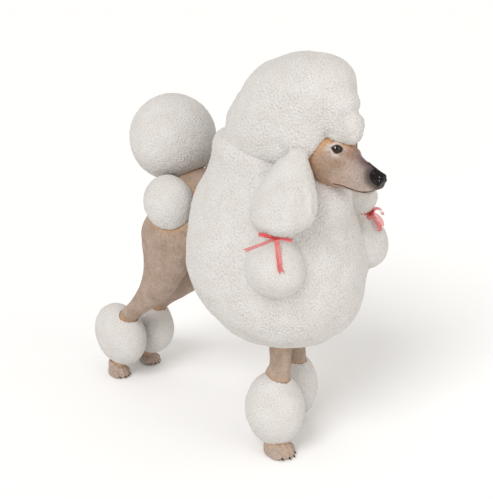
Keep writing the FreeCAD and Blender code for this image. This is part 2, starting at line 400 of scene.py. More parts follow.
def mixed(tree, factor, first, second, blend="MIX"):
    node = node_of(tree, "ShaderNodeMix", data_type="RGBA", blend_type=blend)
    if isinstance(factor, float):
        node.inputs["Factor"].default_value = factor
    else:
        tree.links.new(factor, node.inputs["Factor"])
    for socket, value in ((node.inputs["A"], first), (node.inputs["B"], second)):
        if isinstance(value, tuple):
            socket.default_value = (*value, 1)
        else:
            tree.links.new(value, socket)
    return node.outputs["Result"]


def maths(tree, operation, first, second):
    node = node_of(tree, "ShaderNodeMath", operation=operation)
    for socket, value in zip(node.inputs, (first, second)):
        if isinstance(value, (int, float)):
            socket.default_value = value
        else:
            tree.links.new(value, socket)
    return node.outputs[0]


def bump(tree, shader, height, strength, distance):
    node = node_of(tree, "ShaderNodeBump")
    node.inputs["Strength"].default_value = strength
    node.inputs["Distance"].default_value = distance
    tree.links.new(height, node.inputs["Height"])
    tree.links.new(node.outputs["Normal"], shader.inputs["Normal"])


# coat colours by the curls' height: painted shade in the furrows, lighter towards the crests
COAT_FURROW_SHADE = (0.49, 0.465, 0.435)
COAT_FLANK = (0.62, 0.60, 0.58)
COAT_CREST = (0.68, 0.665, 0.65)
COAT_CLOUD = (0.96, 0.95, 0.93)
SKIN_DARK = (0.31, 0.230, 0.175)
SKIN_MIDDLE = (0.38, 0.290, 0.235)
SKIN_LIGHT = (0.45, 0.36, 0.305)
GRAIN_DARK = (0.78, 0.73, 0.68)
GRAIN_LIGHT = (1.05, 1.04, 1.03)
NO_TINT = (1.0, 1.0, 1.0)
SKIN_ROUGHNESS = 0.62
POLISH = 0.55                  # roughness that the gloss takes away
UNDER_GRAIN = {                # paints in the order of their coats, under the speckled grain
    "grey": (0.43, 0.355, 0.315),
    "shade": (0.30, 0.205, 0.145),
    "rim": (0.62, 0.34, 0.16),
    "dusk": (0.16, 0.105, 0.11),
}
OVER_GRAIN = {
    "pale": (0.66, 0.60, 0.565),
    "pink": (0.66, 0.42, 0.36),
    "dark": (0.005, 0.004, 0.004),
}
PUPIL = (0.004, 0.003, 0.003)
IRIS_EDGE = (0.010, 0.006, 0.004)
IRIS = (0.040, 0.019, 0.010)
IRIS_RIM = (0.020, 0.010, 0.006)
HORN_DARK = (0.012, 0.010, 0.009)
HORN_LIGHT = (0.045, 0.035, 0.028)
ORGANZA_DARK = (0.62, 0.022, 0.022)
ORGANZA_LIGHT = (0.80, 0.060, 0.055)


def coat_material():
    """Matte off-white paint with painted shade: warmer and a little darker in the furrows between the curls.
    """
    material, tree, shader = new_material("coat_white", roughness=0.82, specular=0.25)
    # painted shade: the curl height makes the furrows darker and warmer than the crests
    curl = ramp(tree, field_node(tree, "curl"), (0.0, COAT_FURROW_SHADE), (0.40, COAT_FLANK), (1.0, COAT_CREST))
    clouds = ramp(tree, noise_node(tree, scale=45.0), (0.35, COAT_CLOUD), (0.65, NO_TINT))
    colour = mixed(tree, 1.0, curl, clouds, "MULTIPLY")
    tree.links.new(colour, shader.inputs["Base Color"])
    bump(tree, shader, noise_node(tree, scale=650.0, detail=4.0), strength=0.5, distance=0.0006)
    return material


def skin_material():
    """Matte taupe paint with a sandy grain; the paints over it are masks that each piece carries."""
    material, tree, shader = new_material("skin_taupe", roughness=SKIN_ROUGHNESS, specular=0.22)
    patches = noise_node(tree, scale=60.0, detail=5.0)
    colour = ramp(tree, patches, (0.28, SKIN_DARK), (0.50, SKIN_MIDDLE), (0.74, SKIN_LIGHT))
    grain = ramp(tree, noise_node(tree, scale=420.0, detail=4.0), (0.32, GRAIN_DARK), (0.62, GRAIN_LIGHT))
    for name, paint_colour in UNDER_GRAIN.items():
        colour = mixed(tree, field_node(tree, name), colour, paint_colour)
    colour = mixed(tree, 1.0, colour, grain, "MULTIPLY")
    for name, paint_colour in OVER_GRAIN.items():
        colour = mixed(tree, field_node(tree, name), colour, paint_colour)
    tree.links.new(colour, shader.inputs["Base Color"])
    gloss = maths(tree, "MULTIPLY", field_node(tree, "gloss"), POLISH)
    tree.links.new(maths(tree, "SUBTRACT", SKIN_ROUGHNESS, gloss), shader.inputs["Roughness"])
    bump(tree, shader, noise_node(tree, scale=1400.0, detail=2.0), strength=0.25, distance=0.0003)
    return material


def eye_material():
    """Dark brown glass with a clear polish."""
    material, tree, shader = new_material("eye_glass", roughness=0.05, specular=0.35)
    iris = field_node(tree, "iris")
    colour = ramp(tree, iris, (0.0, PUPIL), (0.35, IRIS_EDGE), (0.5, IRIS), (1.0, IRIS_RIM))
    tree.links.new(colour, shader.inputs["Base Color"])
    return material


def claw_material():
    """Dark horn with a dull shine."""
    material, tree, shader = new_material("claw_horn", roughness=0.30, specular=0.25)
    colour = ramp(tree, noise_node(tree, scale=500.0), (0.3, HORN_DARK), (0.7, HORN_LIGHT))
    tree.links.new(colour, shader.inputs["Base Color"])
    return material


def ribbon_material():
    """Sheer red organza: a fine weave that shows the coat through a single layer."""
    material, tree, shader = new_material("ribbon_organza", roughness=0.38, specular=0.4)
    space = node_of(tree, "ShaderNodeTexCoord")
    threads = node_of(tree, "ShaderNodeTexWave", wave_type="BANDS")
    threads.inputs["Scale"].default_value = 900.0
    threads.inputs["Distortion"].default_value = 0.6
    tree.links.new(space.outputs["Object"], threads.inputs["Vector"])
    colour = ramp(tree, threads.outputs["Fac"], (0.0, ORGANZA_DARK), (1.0, ORGANZA_LIGHT))
    tree.links.new(colour, shader.inputs["Base Color"])
    shader.inputs["Alpha"].default_value = 0.40
    shader.inputs["Sheen Weight"].default_value = 0.4
    return material


COAT = coat_material()
SKIN = skin_material()
EYE = eye_material()
CLAW = claw_material()
ORGANZA = ribbon_material()


# ---- the white coat

COAT_GRADE = {            # relief of the curls and of the broad lumps, in millimetres; seed of the curls
    "mane": (1.00, 1.4, 11),
    "topknot": (0.95, 1.9, 12),
    "pompon": (0.85, 0.7, 13),
    "ear": (0.80, 1.1, 20),
    "rosette": (0.75, 0.8, 30),
    "fore_bracelet": (0.75, 1.0, 40),
    "hind_bracelet": (0.75, 1.0, 45),
}
BROAD_LUMPS = (0.040, 0.018)      # sizes of the hand-modelled lumps
TUFT_LUMPS = (0.007, 0.0035)
PATCH = 0.020                     # size of the patches of stronger and weaker curls
THROAT_RADII = (0.042, 0.041, 0.042)
COLLAR_RADII = (0.080, 0.060, 0.062)
FORELOCK_RADII = np.array((0.0160, 0.0165, 0.0155))
BROW_RADIUS = 0.025
BROW_REACH = (0.050, 0.046, 0.040)
TUFT_ROUNDS = {"pompon": 3, "rosette": 4}
EAR_SURFACES = {}


def finish_coat(clay, name, node, grade, side=0):
    """Adds the hand-modelled unevenness and the curls, whose height sets the painted shade in the furrows,
    and makes the piece.
    """
    relief, lumps, seed = COAT_GRADE[grade]
    broad = noise(clay.co, BROAD_LUMPS[0]) + 0.5 * noise(clay.co, BROAD_LUMPS[1])
    clay.displace(broad * lumps * MM)
    tufts = 0.35 * noise(clay.co, TUFT_LUMPS[0]) + 0.25 * noise(clay.co, TUFT_LUMPS[1])
    pattern = clay.curls(seed + side)
    strength = np.clip(0.75 + 0.5 * noise(clay.co, PATCH), 0.25, 1.3)
    clay.displace((pattern * strength + tufts) * relief * MM)
    # curl height, kept for the painted shade in the furrows
    clay.fields["curl"] = 0.5 + 0.5 * pattern
    clay.piece(name, node, COAT, "coat_white")


def make_mane():
    """Mane with a filled throat, a soft collar below the jaw and a smooth top behind the head."""
    node = "mane_shell"
    throat = np.array((0, low("head")[1] + 0.097, low("head")[2] - 0.028))
    clay = Clay(node, "mane", [(throat, THROAT_RADII)])
    clay.relax(12)
    clay.relax(90, np.clip(2.0 * clay.falloff(throat + (0, -0.020, -0.012), COLLAR_RADII), 0, 1))
    clay.weld(["topknot"], reach=0.019, rise=0.0090)
    clay.weld(EARS, reach=0.008, rise=0.0026)
    top = high(node)[2]
    clay.relax(60, step(top - 0.034, top - 0.012, clay.co[:, 2]))
    clay.relax(3)
    finish_coat(clay, "mane", node, "mane")


def make_topknot():
    """Tall topknot that ends over the brow in a round forelock, set off by a shallow valley."""
    node = "topknot"
    front = low(node)[1]
    eye_top = high("right_eye")[2]
    forelock = np.array((0, front + 0.0160, eye_top + 0.0095))
    brow = (0, front + 0.033, eye_top + 0.039)
    clay = Clay(node, "topknot", [(forelock, FORELOCK_RADII), (brow, [BROW_RADIUS] * 3)])
    clay.relax(10)
    clay.relax(110, np.clip(2.5 * clay.falloff(brow, BROW_REACH), 0, 1))
    clay.weld(["mane_shell"], reach=0.012, rise=0.0015)
    clay.weld(EARS, reach=0.016, rise=0.0075)
    clay.displace(-0.0048 * forelock_valley(clay, forelock))
    clay.relax(2)
    finish_coat(clay, "topknot_coat", node, "topknot")


def forelock_valley(clay, forelock):
    """1 along a ring outside the forelock's ball, on the side that faces the topknot."""
    ball = np.linalg.norm((clay.co - forelock) / FORELOCK_RADII, axis=1)
    behind = step(-0.013, -0.002, clay.co[:, 1] - forelock[1])
    above = step(-0.010, 0.000, clay.co[:, 2] - forelock[2])
    return bell(ball, 1.60, 0.28) * above * behind


def make_tuft(node, kind, side=0):
    """Plain round piece of coat: the tail's pompon or a hip's rosette."""
    clay = Clay(node, kind)
    clay.relax(TUFT_ROUNDS[kind])
    finish_coat(clay, node + "_coat", node, kind, side)


def make_ear(name, side):
    """Hanging ear: an upper flap with a broad front face, and a round lobe below the ribbon."""
    node = name + "_ear"
    clay = Clay(node, "ear")
    clay.relax(5)
    clay.weld(["topknot"], reach=0.010, rise=0.0015)
    clay.weld(["mane_shell"], reach=0.006, rise=0.0016)
    square_front(clay, node, side)
    if name == "left":
        draw_in(clay, node)
    clay.relax(2)
    finish_coat(clay, node + "_coat", node, "ear", side)
    EAR_SURFACES[name] = BVHTree.FromPolygons(clay.co.tolist(), clay.faces.tolist())


def draw_in(clay, node):
    """Moves the upper flap's front back and its outer side in."""
    height = clay.co[:, 2] - ear_waist(node)[2]
    front = np.clip((middle(node)[1] + 0.006 - clay.co[:, 1]) / 0.030, 0, 1)
    clay.co[:, 1] += 0.014 * step(0.030, 0.058, height) * front
    outer = np.clip((clay.co[:, 0] - middle(node)[0]) / 0.025, 0, 1)
    clay.co[:, 0] -= 0.005 * step(0.008, 0.030, height) * outer


def square_front(clay, node, side):
    """Gives the upper flap a front face: an edge of waved hair, and a shallow hollow in front of it."""
    waist_z = ear_waist(node)[2]
    height = clay.co[:, 2] - waist_z
    upper = step(0.008, 0.022, height) * step(0.085, 0.050, height)
    flap = clay.co[clay.co[:, 2] > waist_z + 0.020]
    half = (flap.max(axis=0) - flap.min(axis=0)) / 2
    centre = (flap.max(axis=0) + flap.min(axis=0)) / 2
    out = side * (clay.co[:, 0] - centre[0]) / half[0]
    ahead = (centre[1] - clay.co[:, 1]) / half[1]
    turn = np.arctan2(ahead, out) + 0.10 * np.sin(height * 190) - 3.0 * height
    reach = 1.0 if side < 0 else 0.35
    edge = bell(turn, 0.62, 0.26)
    hollow = bell(turn, 1.15, 0.30)
    waves = np.sin(15 * turn + 90 * height) * step(0.7, 1.0, turn) * step(2.2, 1.9, turn)
    clay.displace(reach * upper * (0.0030 * edge - 0.0022 * hollow + 0.0006 * waves))


def make_bracelet(name, side, end):
    """Round cuff of coat above a paw; the left hind one leans towards its paw."""
    node = f"{name}_{end}_bracelet"
    clay = Clay(node, end + "_bracelet")
    clay.relax(4)
    if node == "left_hind_bracelet":
        clay.push(middle(node) + (0, 0.032, 0.024), radii=0.042, amount=0.009, direction=(0, -1, -0.7))
    finish_coat(clay, node + "_coat", node, end + "_bracelet", side)


# ---- the shaved skin

PAINTS = (*UNDER_GRAIN, *OVER_GRAIN, "gloss")      # the masks that every skin piece carries


def skin_fields(clay, width, strength):
    """Empty paint masks, apart from the rim: the tan edge beside the coat."""
    for name in PAINTS:
        clay.fields[name] = np.zeros(len(clay.co))
    away = clay.near(COAT_NODES, 3 * width) + 0.3 * width * noise(clay.co, 0.007)
    clay.fields["rim"] = strength * np.exp(-(np.clip(away, 0, 1) / width) ** 1.5)


def paint(clay, field, mask):
    """Adds a mask to one of the piece's paints."""
    clay.fields[field] = np.maximum(clay.fields[field], np.clip(mask, 0, 1))


def shaved(clay, relief=0.10):
    """Soft muscle and fine sandy grain of the shaved skin."""
    clay.displace(0.45 * MM * noise(clay.co, 0.016))
    clay.displace(relief * MM * (noise(clay.co, 0.0035) + noise(clay.co, 0.0020)))


def finish_skin(clay, name, node, width, strength):
    """Gives a plain limb its grain and its tan rim, and makes the piece."""
    shaved(clay)
    skin_fields(clay, width, strength)
    clay.piece(name, node, SKIN, "skin_taupe")


def make_hindquarters():
    node = "hindquarters"
    clay = Clay(node, "hindquarters")
    clay.relax(8)
    finish_skin(clay, "rump", node, width=0.004, strength=0.5)


def make_hind_leg(name, side):
    """Thigh and hock, with the hamstring's hollow and a rounded knee."""
    node = name + "_hind_leg"
    cuff = name + "_hind_bracelet"
    clay = Clay(node, "hind_leg")
    clay.relax(8)
    hock = middle(cuff) + (0, -0.012, 0.5 * size(cuff)[2] + 0.020)
    knee = middle(node) + (side * 0.012, -0.030, 0.012)
    hamstring = [hock + (side * 0.010, 0.004, 0.0), hock + (side * 0.016, -0.030, 0.040)]
    clay.groove(hamstring, width=0.007, depth=0.0016)
    clay.push(knee, radii=0.034, amount=0.0022)
    finish_skin(clay, node + "_skin", node, width=0.0042, strength=0.6)


def make_fore_leg(name):
    """Straight fore leg that swells at the back where it enters its bracelet."""
    node = name + "_fore_leg"
    cuff = name + "_fore_bracelet"
    clay = Clay(node, "fore_leg")
    clay.relax(6)
    entry = middle(cuff) + (0, 0.012, 0.5 * size(cuff)[2] - 0.002)
    clay.push(entry, radii=0.017, amount=0.0042, direction=(-0.45, 1, 0))
    clay.groove([entry + (0, -0.018, 0.0), entry + (0, -0.018, 0.040)], width=0.005, depth=0.0009)
    finish_skin(clay, node + "_skin", node, width=0.0032, strength=0.3)


TOES = 4
GAP_PATH = ((-0.10, -0.15), (-0.02, 0.14), (0.16, 0.34), (0.42, 0.48))     # between toes, back and up
CLAW_RINGS = 8
CLAW_SIDES = 12
CLAW_CLEAR = 0.0002        # above the ground


def toe_places(node):
    """Middle of each toe's front end, from the paw's box; the outer toes sit further back."""
    corner, other = low(node), high(node)
    width = other[0] - corner[0]
    places = []
    for number in range(TOES):
        share = number / (TOES - 1) - 0.5
        back = 0.16 * width if abs(share) > 0.3 else 0.02 * width
        x = (corner[0] + other[0]) / 2 + 0.66 * width * share
        places.append(np.array((x, corner[1] + back, 0.15 * width)))
    return places


def make_paw(name, end):
    """Paw with four knuckled toes, parted by deep grooves; sizes are shares of its width."""
    node = f"{name}_{end}_paw"
    clay = Clay(node, "paw")
    clay.relax(3)
    toes = toe_places(node)
    width = size(node)[0]
    skin_fields(clay, width=0.0035, strength=0.45)
    for first, second in zip(toes, toes[1:]):
        part_toes(clay, (first + second) / 2, width)
    for toe in toes:
        clay.push(toe + (0, 0.14 * width, 0.14 * width), radii=0.16 * width, amount=0.035 * width)
        clay.push(toe + (0, 0.0, 0.0), radii=0.12 * width, amount=0.030 * width)
    shaved(clay, 0.06)
    clay.co[:, 2] = np.maximum(clay.co[:, 2], 0.0)
    paint(clay, "grey", 0.5 + 0.5 * noise(clay.co, 0.008))
    clay.piece(node + "_skin", node, SKIN, "skin_taupe")
    make_claws(node, toes, width)


def part_toes(clay, gap, width):
    """Cuts the groove between two toes and paints it: tan edges, pink sides, and a dark bottom that is
    painted shade.
    """
    line = [gap + (0, back * width, up * width) for back, up in GAP_PATH]
    clay.groove(line, width=0.045 * width, depth=0.055 * width)
    distance, where = clay.along(line)
    paint(clay, "rim", 0.8 * bell(distance, 0, 0.055 * width) * (1 - 0.5 * where))
    paint(clay, "pink", 0.7 * bell(distance, 0, 0.040 * width) * (1 - where))
    # painted shade: darkest along the bottom of the groove
    paint(clay, "dark", 0.75 * bell(distance, 0, 0.022 * width) * (1 - where))


def claw_points(root, length, thickness):
    """Rings of a hooked claw that runs forward and down from its root."""
    rings = []
    for ring in range(CLAW_RINGS):
        along = ring / (CLAW_RINGS - 1)
        centre = root + np.array((0, -along * length, -0.55 * length * along ** 2))
        radius = thickness * math.sqrt(max(1 - along ** 1.6, 0.0)) + 0.00005
        for number in range(CLAW_SIDES):
            turn = 2 * math.pi * number / CLAW_SIDES
            section = np.array((0.8 * math.cos(turn), 0.35 * math.sin(turn), math.sin(turn)))
            rings.append(centre + radius * section)
    return rings


def tube_faces(rings, sides, start):
    """Faces round a tube whose first point has the number start, and over its two ends."""
    faces = []
    for ring in range(rings - 1):
        for number in range(sides):
            here = start + ring * sides + number
            there = start + ring * sides + (number + 1) % sides
            faces.append((here, there, there + sides, here + sides))
    faces.append(tuple(start + number for number in reversed(range(sides))))
    faces.append(tuple(start + (rings - 1) * sides + number for number in range(sides)))
    return faces


def make_claws(node, toes, width):
    """One claw on each toe, all in one mesh."""
    points, faces = [], []
    for toe in toes:
        root = toe + np.array((0, 0.022 * width, -0.020 * width))
        faces += tube_faces(CLAW_RINGS, CLAW_SIDES, len(points))
        points += claw_points(root, 0.125 * width, 0.052 * width)
    mesh = bpy.data.meshes.new(node + "_claws")
    lowest = (-np.inf, -np.inf, CLAW_CLEAR)
    mesh.from_pydata([tuple(np.maximum(point, lowest)) for point in points], [], faces)
    add_piece(node + "_claws", mesh, node, CLAW)


# ---- the face

EYE_Z = middle("right_eye")[2]
EYE_RADIUS = size("right_eye")[2] / 2
NOSE_Y = low("head")[1]
GAZE = (0.60, -0.76, 0.14)             # the way an eye's opening faces; x is outward
IRIS_GAZE = (0.66, -0.72, 0.16)
INNER_CORNER = (-0.52, -0.62, -0.16)   # from the middle of the opening to its inner corner
EYE_ZONE = 17 * MM                     # reach of the lids round the middle of the eyeball
EYE_HALF_WIDTH = 6.7 * MM
UPPER_LID = 4.5 * MM
LOWER_LID = 3.9 * MM
LID_THICKNESS = 0.9 * MM
OPENING_DEPTH = 1.7 * MM               # the skin inside the opening, under the glass
FACE_FORMS = (     # on both sides, as for mould: eye bone, cheekbone, muzzle's hollow, lip's front and edge
    ((11, 50, 10), (8, 9, 6), 1.2),
    ((24, 66, -20), (10, 20, 14), 1.6),
    ((14, 38, -18), (6, 16, 8), -1.3),
    ((10, 16, -37), (7, 13, 7), 0.9),
    ((11, 27, -43), (8, 28, 10), 2.2, (1, 0, -0.3)),
)
TEAR_LINE = ((8, 47, -3), (11, 40, -10), (15, 42, -20))
NOSTRIL_SLIT = ((5.5, 2.0, -26.5), (8.2, 5.5, -28.0), (9.2, 9.5, -27.5))
LIP_PARTING = ((0, 0.5, -25), (0, 1.5, -31), (0, 6, -39))
MOUTH = (
    (18, 58.5, -40.7), (15.5, 49, -40.7), (14, 40, -42.3), (12.5, 31, -43.9),
    (11, 22, -44.2), (8.5, 14, -42.9), (5.5, 9.5, -41.0), (0, 7.5, -39.2),
)
NOSE = (0, 5.0, -25.6)
NOSE_RADII = (10.8, 14.5, 10.6)


def face(side, x, y, z):
    """Point of the face in millimetres: out from the midline, behind the nose's tip, above the eyes."""
    return np.array((side * x * MM, NOSE_Y + y * MM, EYE_Z + z * MM))


def face_line(side, points):
    return [face(side, *point) for point in points]


def zone(clay, side, centre, radii):
    """1 at a place of the face, 0 at the radii's reach; all in face()'s millimetres."""
    return clay.falloff(face(side, *centre), np.array(radii) * MM)


def mould(clay, side, centre, radii, rise, way=None):
    """Raises or sinks the face round a place, in face()'s millimetres; the way's x is outward."""
    direction = None if way is None else (side * way[0], way[1], way[2])
    clay.push(face(side, *centre), np.array(radii) * MM, rise * MM, direction)


def outward(side, way):
    return unit((side * way[0], way[1], way[2]))


def eye_frame(side):
    """Axes of an eye's opening: its facing, towards the inner corner, and up."""
    facing = outward(side, GAZE)
    across = outward(side, INNER_CORNER)
    across = unit(across - facing * (across @ facing))
    up = np.cross(across, facing)
    return facing, across, up * np.sign(up[2])


def lid_gap(offsets, side):
    """How far points lie outside the almond opening, negative inside; their height and place along it."""
    facing, across, up = eye_frame(side)
    reach = offsets / np.linalg.norm(offsets, axis=1, keepdims=True) * EYE_RADIUS
    along = reach @ across
    along = along / np.where(along > 0, 1.12 * EYE_HALF_WIDTH, 0.97 * EYE_HALF_WIDTH)
    height = reach @ up + 1.5 * MM * np.clip(along, 0, 1) ** 2 - 0.6 * MM * np.clip(-along, 0, 1) ** 2
    narrowing = np.clip(1 - np.abs(along) ** 2.1, 0, 1) ** 0.85
    limit = np.where(height > 0, UPPER_LID, LOWER_LID) * narrowing
    gap = np.maximum(np.abs(height) - limit, (np.abs(along) - 1) * EYE_HALF_WIDTH)
    behind = reach @ facing < 0.1 * EYE_RADIUS
    return np.where(behind, 0.02, gap), height, along


def carve_eye(clay, name, side):
    """Cuts the almond opening over the glass eye, and wraps lids round the ball."""
    centre = middle(name + "_eye")
    offsets = clay.co - centre
    distance = np.linalg.norm(offsets, axis=1)
    gap, height, along = lid_gap(offsets, side)
    lid = EYE_RADIUS + LID_THICKNESS * fade(-0.9, 0.1, gap)
    lid = lid - OPENING_DEPTH * fade(0.1, -1.0, gap)
    fold = np.where(height > 0, 0.55 * MM, 0.25 * MM) * bell(gap, 2.6 * MM, 0.8 * MM)
    lid = lid + np.where(height > 0, 0.5 * MM, 0.0) * fade(0.0, 1.5, gap) - fold
    blend = fade(7.5, 2.0, gap) * step(EYE_ZONE, 13 * MM, distance)
    target = distance * (1 - blend) + lid * blend
    clay.co = centre + offsets * (target / distance)[:, None]
    return gap, height, along, distance


def paint_eye(clay, gap, height, along, distance):
    """Pale ring round the lids, and the lids' dark, wet edge that ends in the inner corner."""
    here = step(EYE_RADIUS + 3.6 * MM, EYE_RADIUS + 1.8 * MM, distance)
    around = step(EYE_RADIUS + 7.5 * MM, EYE_RADIUS + 3.5 * MM, distance)
    ring = fade(0.6, 1.6, gap) * fade(5.0, 1.6, gap)
    stronger = np.clip(0.70 - 0.30 * along, 0, 0.85)
    paint(clay, "pale", around * ring * stronger)
    paint(clay, "dark", here * fade(0.75, 0.1, gap) * 0.96)
    paint(clay, "gloss", here * fade(0.5, 0.0, gap) * 0.7)
    corner = step(0.80, 0.95, along) * step(1.45, 1.15, along)
    corner = corner * fade(1.2, 0.3, np.abs(height - 0.9 * MM))
    paint(clay, "dark", 0.9 * here * corner)


def below_mouth(clay, line):
    """Height of every vertex under the mouth line, positive below it."""
    order = np.argsort(line[:, 1])
    level = np.interp(clay.co[:, 1], line[order, 1], line[order, 2])
    ahead = clay.co[:, 1] < line[:, 1].min()
    return np.where(ahead, line[:, 2].max(), level) - clay.co[:, 2]


def carve_mouth(clay):
    """Groove of the mouth, the lower jaw set in under the upper lip, and the lip's pink edge."""
    line = np.array(face_line(1, MOUTH))
    under = below_mouth(clay, line)
    front = line[0, 1]
    muzzle = step(front + 4 * MM, front - 2 * MM, clay.co[:, 1])
    inset = fade(-0.2, 1.2, under) * muzzle
    clay.displace(-1.0 * MM * inset)
    ahead = step(NOSE_Y + 22 * MM, NOSE_Y + 9 * MM, clay.co[:, 1])
    clay.co[:, 1] += 4.5 * MM * inset * ahead
    swell = bell(under, -3.0 * MM, 2.4 * MM) * muzzle
    clay.displace(0.6 * MM * (swell * step(front, front - 14 * MM, clay.co[:, 1])))
    for side in (-1, 1):
        one_side = fade(-1, 1, side * clay.co[:, 0])
        distance, where = clay.along(face_line(side, MOUTH), measure=(0.2, 1, 1))
        cut = bell(distance, 0, 0.8 * MM) * one_side
        clay.displace(-1.6 * MM * cut)
        paint(clay, "dark", 2.0 * bell(distance, 0, 1.0 * MM) * one_side)
        lip = bell(distance, 2.1 * MM, 1.3 * MM) * one_side * (under < 0)
        paint(clay, "pink", 0.75 * lip * step(0.75, 0.1, where))
        lower = bell(distance, 1.9 * MM, 1.1 * MM) * one_side * (under > 0)
        paint(clay, "pink", 0.55 * lower * step(0.9, 0.3, where))


def carve_nose(clay):
    """Glossy pad with comma nostrils and the groove between the lips."""
    reach = np.linalg.norm((clay.co - face(1, *NOSE)) / (np.array(NOSE_RADII) * MM), axis=1)
    above_lip = fade(-37.5, -34.0, clay.co[:, 2] - EYE_Z)
    pad = step(1.12, 1.0, reach) * above_lip
    clay.displace(0.2 * MM * pad)
    mould(clay, 1, (0, 1, -36), (11, 9, 8), 3.4, (0, 1, 0))
    for side in (-1, 1):
        mould(clay, side, (4.6, 1.5, -26.5), (2.3, 3.4, 2.1), -2.4)
        clay.groove(face_line(side, NOSTRIL_SLIT), width=0.9 * MM, depth=1.1 * MM)
        mould(clay, side, (6.5, 3.5, -22.5), (3.5, 3.5, 3.5), 0.5)
    clay.groove(face_line(1, LIP_PARTING), width=0.75 * MM, depth=1.0 * MM)
    clay.displace(0.10 * MM * pad * noise(clay.co, 0.0016))
    under_lip = fade(14, 5, clay.co[:, 1] - NOSE_Y)
    under_lip = under_lip * fade(-44, -36, clay.co[:, 2] - EYE_Z)
    paint(clay, "dark", np.maximum(step(1.25, 1.0, reach), 0.8 * step(1.9, 1.1, reach)))
    paint(clay, "dark", 0.85 * under_lip)
    paint(clay, "gloss", pad)


def shape_face(clay):
    """Brow, stop, cheekbones and the lean sides of the muzzle."""
    mould(clay, 1, (0, 40, 4), (8, 14, 8), -1.0)
    mould(clay, 1, (0, 20, -17), (11, 19, 11), 3.4, (0, -0.15, 1))
    for side in (-1, 1):
        for form in FACE_FORMS:
            mould(clay, side, *form)
        clay.groove(face_line(side, TEAR_LINE), width=3.0 * MM, depth=0.6 * MM)


def incise_hair(clay):
    """Short strokes of hair that sweep back from the nose over the muzzle and cheeks."""
    swept = clay.co @ np.array(((1, 0, 0), (0, 0.16, 0.10), (0, -0.10, 1)))
    strokes = noise(swept, 0.0017) + 0.6 * noise(swept + 0.3, 0.0030)
    off_nose = fade(10, 20, clay.co[:, 1] - NOSE_Y)
    clay.displace(0.22 * MM * strokes * off_nose)


def paint_face(clay):
    """Grey muzzle, dark ridge and darker paint round the nose's lower half, painted shade in the hollows,
    pink cheeks and a tan brow.
    """
    ahead = clay.co[:, 1] - NOSE_Y
    height = clay.co[:, 2] - EYE_Z
    across = np.abs(clay.co[:, 0])
    up = clay.normals()[:, 2]
    mottle = 0.25 * noise(clay.co, 0.006) + 0.15 * noise(clay.co, 0.0022)
    paint(clay, "grey", fade(62, 22, ahead) * fade(8, -18, height) * (0.85 + mottle))
    ridge = bell(across, 0, 9.5 * MM) * step(-0.3, 0.4, up)
    paint(clay, "dusk", ridge * fade(58, 30, ahead) * (0.9 + mottle))
    paint(clay, "dark", ridge * fade(36, 12, ahead) * (0.92 + mottle))
    # darker paint round the lower half of the nose and over the upper lip
    nose_base_dark = fade(27, 10, ahead) * fade(-40, -28, height)
    paint(clay, "dark", 0.8 * nose_base_dark * (0.8 + mottle))
    for side in (-1, 1):
        # painted shade: the hollow below and behind each eye, and the hollow by the inner corner over the
        # tear line, are painted darker
        hollow = zone(clay, side, (21, 55, -13), (14, 22, 12))
        paint(clay, "shade", 0.9 * hollow + mottle * hollow)
        blush = zone(clay, side, (22, 58, -34), (12, 18, 9))
        paint(clay, "pink", 0.35 * blush + mottle * blush)
        paint(clay, "shade", zone(clay, side, (8, 42, -4), (8, 12, 12)))
    brow = fade(6, 14, height) * fade(70, 50, ahead)
    paint(clay, "rim", 0.45 * brow * (0.8 + mottle))


def eye_seat(name, side):
    """Ball under the skin that the eye sits on."""
    return middle(name + "_eye") - outward(side, GAZE) * 1.2 * MM, [EYE_RADIUS + 0.3 * MM] * 3


def make_head():
    """The sculpted, painted head with its lids, mouth and nose."""
    node = "head"
    clay = Clay(node, "head", [eye_seat(name, side) for name, side in SIDES])
    clay.relax(10)
    shape_face(clay)
    shaved(clay, 0.04)
    skin_fields(clay, width=0.0085, strength=0.9)
    eyes = [carve_eye(clay, name, side) for name, side in SIDES]
    incise_hair(clay)
    carve_mouth(clay)
    carve_nose(clay)
    paint_face(clay)
    for gap, height, along, distance in eyes:
        clay.fields["rim"] *= 1 - 0.9 * fade(5, 2, gap) * (distance < EYE_ZONE)
        paint_eye(clay, gap, height, along, distance)
    clay.piece("head_skin", node, SKIN, "skin_taupe")


def make_eye(name, side):
    """Glass eye with a brown iris and a low cornea."""
    node = name + "_eye"
    clay = Clay(node, "eye")
    clay.relax(3)
    offsets = clay.co - middle(node)
    distance = np.linalg.norm(offsets, axis=1, keepdims=True)
    turn = np.arccos(np.clip(offsets / distance @ outward(side, IRIS_GAZE), -1, 1))
    bulge = 0.35 * MM * step(0.62, 0.0, turn)
    clay.co = middle(node) + offsets / distance * (EYE_RADIUS + bulge[:, None])
    clay.fields["iris"] = step(0.20, 0.27, turn) * step(0.62, 0.52, turn)
    clay.piece(node + "_glass", node, EYE, "eye_glass")


# ---- the ribbons

RIBBON_WIDTH = 6.0 * MM
RIBBON_THICKNESS = 0.3 * MM
RIBBON_COLUMNS = 7
RIBBON_CLEAR = 2.6 * MM    # middle of a strip above the ear that it lies on
RIBBON_RISE = 6.0 * MM     # knot above the middle of the waist
LOOP_WIDTH = 3.6 * MM
KNOT_WIDTH = 4.2 * MM
BAND_WIDTH = 4.0 * MM
BAND_CLEAR = 0.9 * MM
LOOP_ROWS = 36
TAIL_ROWS = 30
KNOT_ROWS = 28
BAND_ROWS = 72
NOTCH_ROWS = 3             # rows at a tail's end that the notch is cut in
WAIST_LEVELS = 40
WAIST_BAND = 0.0015        # half height of each level
BOW_CLEAR = 0.4 * MM
EASING = 6                 # rounds that smooth a draped path
KNOT_RADII = (2.7 * MM, 3.0 * MM)
KNOT_OUT = 1.6 * MM
KNOT_LEVELS = (-0.7, 0.7)  # places of its two turns, in millimetres
